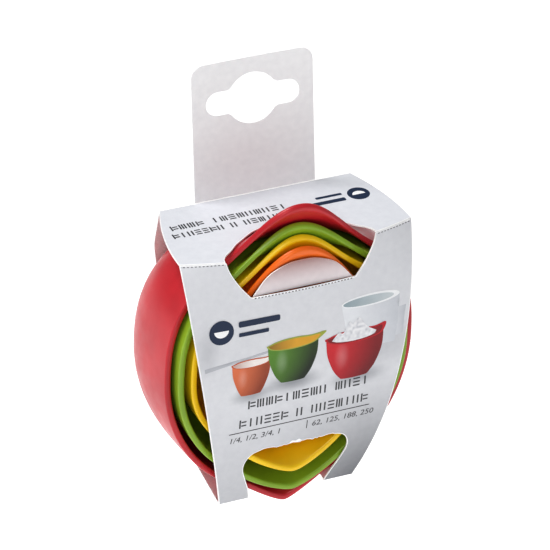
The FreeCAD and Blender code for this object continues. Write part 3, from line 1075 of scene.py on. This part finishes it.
def front_print():
    sheet = Print(front_outer)
    outline = front_outline()
    sheet.strip(outline, 0.32, BRIGHT, closed=True)
    pictures(sheet)
    emblem(sheet, (-21.5, 23.4), 25.5, 1)
    heading(sheet, (9, 4), -20.2, 25.0, -8.6, -5.2, 3)
    heading(sheet, (6, 1, 7), -23.0, 25.0, -16.3, -12.7, 4)
    sheet.patch(lozenge(-26.5, 25.4, -18.35, -18.0), LETTER, lift=0.03)
    numerals(sheet, "1/4, 1/2, 3/4, 1", -26.4, -22.4, 3.3)
    sheet.patch(lozenge(2.3, 2.6, -22.9, -19.2), LETTER, lift=0.03)
    numerals(sheet, "62, 125, 188, 250", 4.2, -22.4, 3.3)
    perforation(sheet, [(-17.6 + 1.2 * i, WINDOW_LOW_Z - 0.3) for i in range(30)], 0.62, 0.36)
    for sign in (1, -1):
        across = [(sign * (28.2 + 1.25 * i), TOP_Z - 0.75) for i in range(11)]
        perforation(sheet, across, 0.6, 0.26)
    torn = [(-3.4, -28.3), (-2.4, -27.3), (-1.0, -27.7), (0.3, -27.2), (1.6, -28.3), (0.0, -28.5)]
    sheet.patch(torn, BRIGHT, step=2.0, lift=0.03)
    return sheet.finish("front_print", "front_panel", Vector((0, -1, 0)))


def top_print():
    sheet = Print(top_outer)
    sheet.strip(top_outline(), 0.3, BRIGHT, closed=True)
    emblem(sheet, (24.5, 18.5), 23.0, -1)
    heading(sheet, (4, 9), -36.0, 6.5, 18.4, 21.4, 3)
    heading(sheet, (7, 1, 6), -37.2, 4.5, 13.4, 16.4, 4)
    return sheet.finish("top_print", SLEEVE_BODY, Vector((0, 0, 1)))


def build_sleeve():
    crease_rows = []
    for i in range(81):
        x = -40 + i
        crease_rows += [(x, TOP_Z - 0.42), (x, TOP_Z - 0.85)]
    card_piece("front_panel", "front_panel", front_outline(), [], front_outer, front_inner, front_print_and_shade,
               rows=crease_rows)
    top_rows = []
    for i in range(81):
        x = -40 + i
        top_rows += [(x, crease_y(x) + 0.45), (x, crease_y(x) + 0.9)]
    card_piece("top_panel", SLEEVE_BODY, top_outline(), [], top_outer, top_inner,
               plain_tint(linear("#E3E5EA")), rows=top_rows)
    grey = plain_tint(linear("#DADCE0"))
    card_piece("bottom_panel", SLEEVE_BODY, bottom_outline(), [], bottom_outer, bottom_inner, grey)
    card_piece("back_panel", SLEEVE_BODY, back_outline(), [], back_outer, back_inner, grey)
    card_piece("glue_lap", SLEEVE_BODY, lap_outline(), [], lap_outer, lap_inner, grey)
    card_piece("hang_tab", "hang_tab", tab_outline(), [hang_hole()], tab_outer, tab_inner,
               plain_tint(linear("#F7F7F8")))
    card_piece("top_window_flap", "top_window_flap", flap_outline(), [], flap_outer, flap_inner,
               flap_painted_shade)


# ---- camera, floor and light ----
# The view's angles are in degrees, its distance in metres, and its lens and aim in millimetres.
VIEW_TURN = 24.74
VIEW_RISE = 33.13
VIEW_ROLL = 1.82
VIEW_DISTANCE = 1.2758
VIEW_LENS = 246.6
VIEW_AIM = (-5.08, 28.29)
FLOOR_DROP = 0.13
FLOOR_HALF = 3.0
FLOOR_GLOW = 0.45
SKY_STRENGTH = 0.36
VIEW_GAMMA = 0.82


def build_camera():
    turn, rise, roll = (math.radians(a) for a in (VIEW_TURN, VIEW_RISE, VIEW_ROLL))
    back = Vector((-math.cos(rise) * math.sin(turn), -math.cos(rise) * math.cos(turn), math.sin(rise)))
    right = Vector((math.cos(turn), -math.sin(turn), 0))
    up = back.cross(right)
    right, up = (math.cos(roll) * right + math.sin(roll) * up,
                 math.cos(roll) * up - math.sin(roll) * right)
    camera = bpy.data.objects.new("camera", bpy.data.cameras.new("camera"))
    bpy.context.scene.collection.objects.link(camera)
    camera.data.sensor_width = 36.0
    camera.data.lens = VIEW_LENS
    camera.data.clip_start = 0.05
    camera.data.clip_end = 20.0
    camera.location = RIM_CENTRE + back * VIEW_DISTANCE
    aim = RIM_CENTRE + (right * VIEW_AIM[0] + up * VIEW_AIM[1]) * MM
    backward = (camera.location - aim).normalized()
    right = up.cross(backward).normalized()
    up = backward.cross(right)
    camera.rotation_mode = "QUATERNION"
    camera.rotation_quaternion = Matrix((right, up, backward)).transposed().to_quaternion()
    bpy.context.scene.camera = camera


def build_floor():
    half, z = FLOOR_HALF, CAD_BOX[0].z - FLOOR_DROP
    corners = [(-half, -half, z), (half, -half, z), (half, half, z), (-half, half, z)]
    material, nodes, links = new_material("pale_floor")
    shader = nodes["Principled BSDF"]
    shader.inputs["Base Color"].default_value = (0.94, 0.94, 0.94, 1)
    shader.inputs["Roughness"].default_value = 0.9
    shader.inputs["Emission Color"].default_value = (1, 1, 1, 1)
    shader.inputs["Emission Strength"].default_value = FLOOR_GLOW
    floor = make_piece("floor", corners, [(0, 1, 2, 3)], [material])


def soft_light(name, spot_at, size, power):
    light = bpy.data.objects.new(name, bpy.data.lights.new(name, "AREA"))
    light.data.shape = "SQUARE"
    light.data.size = size
    light.data.energy = power
    light.location = RIM_CENTRE + Vector(spot_at)
    direction = RIM_CENTRE - light.location
    light.rotation_mode = "QUATERNION"
    light.rotation_quaternion = direction.to_track_quat("-Z", "Y")
    bpy.context.scene.collection.objects.link(light)


def build_light():
    world = bpy.data.worlds.new("studio")
    world.use_nodes = True
    sky = world.node_tree.nodes["Background"]
    sky.inputs["Color"].default_value = (1.0, 1.0, 1.0, 1)
    sky.inputs["Strength"].default_value = SKY_STRENGTH
    bpy.context.scene.world = world
    soft_light("key", (-0.6, 0.25, 1.4), 0.6, 15.0)
    soft_light("front", (-0.6, -1.3, 0.9), 0.6, 7.5)
    soft_light("side", (-1.3, 0.4, 0.3), 0.6, 2.0)


def set_tones():
    """The plain transform, because the default one greys the pale floor and the bright plastic."""
    view = bpy.context.scene.view_settings
    view.view_transform = "Standard"
    view.gamma = VIEW_GAMMA


for cup_node in CUPS:
    build_cup(cup_node)
build_sleeve()
front_print()
top_print()
build_camera()
build_floor()
build_light()
set_tones()
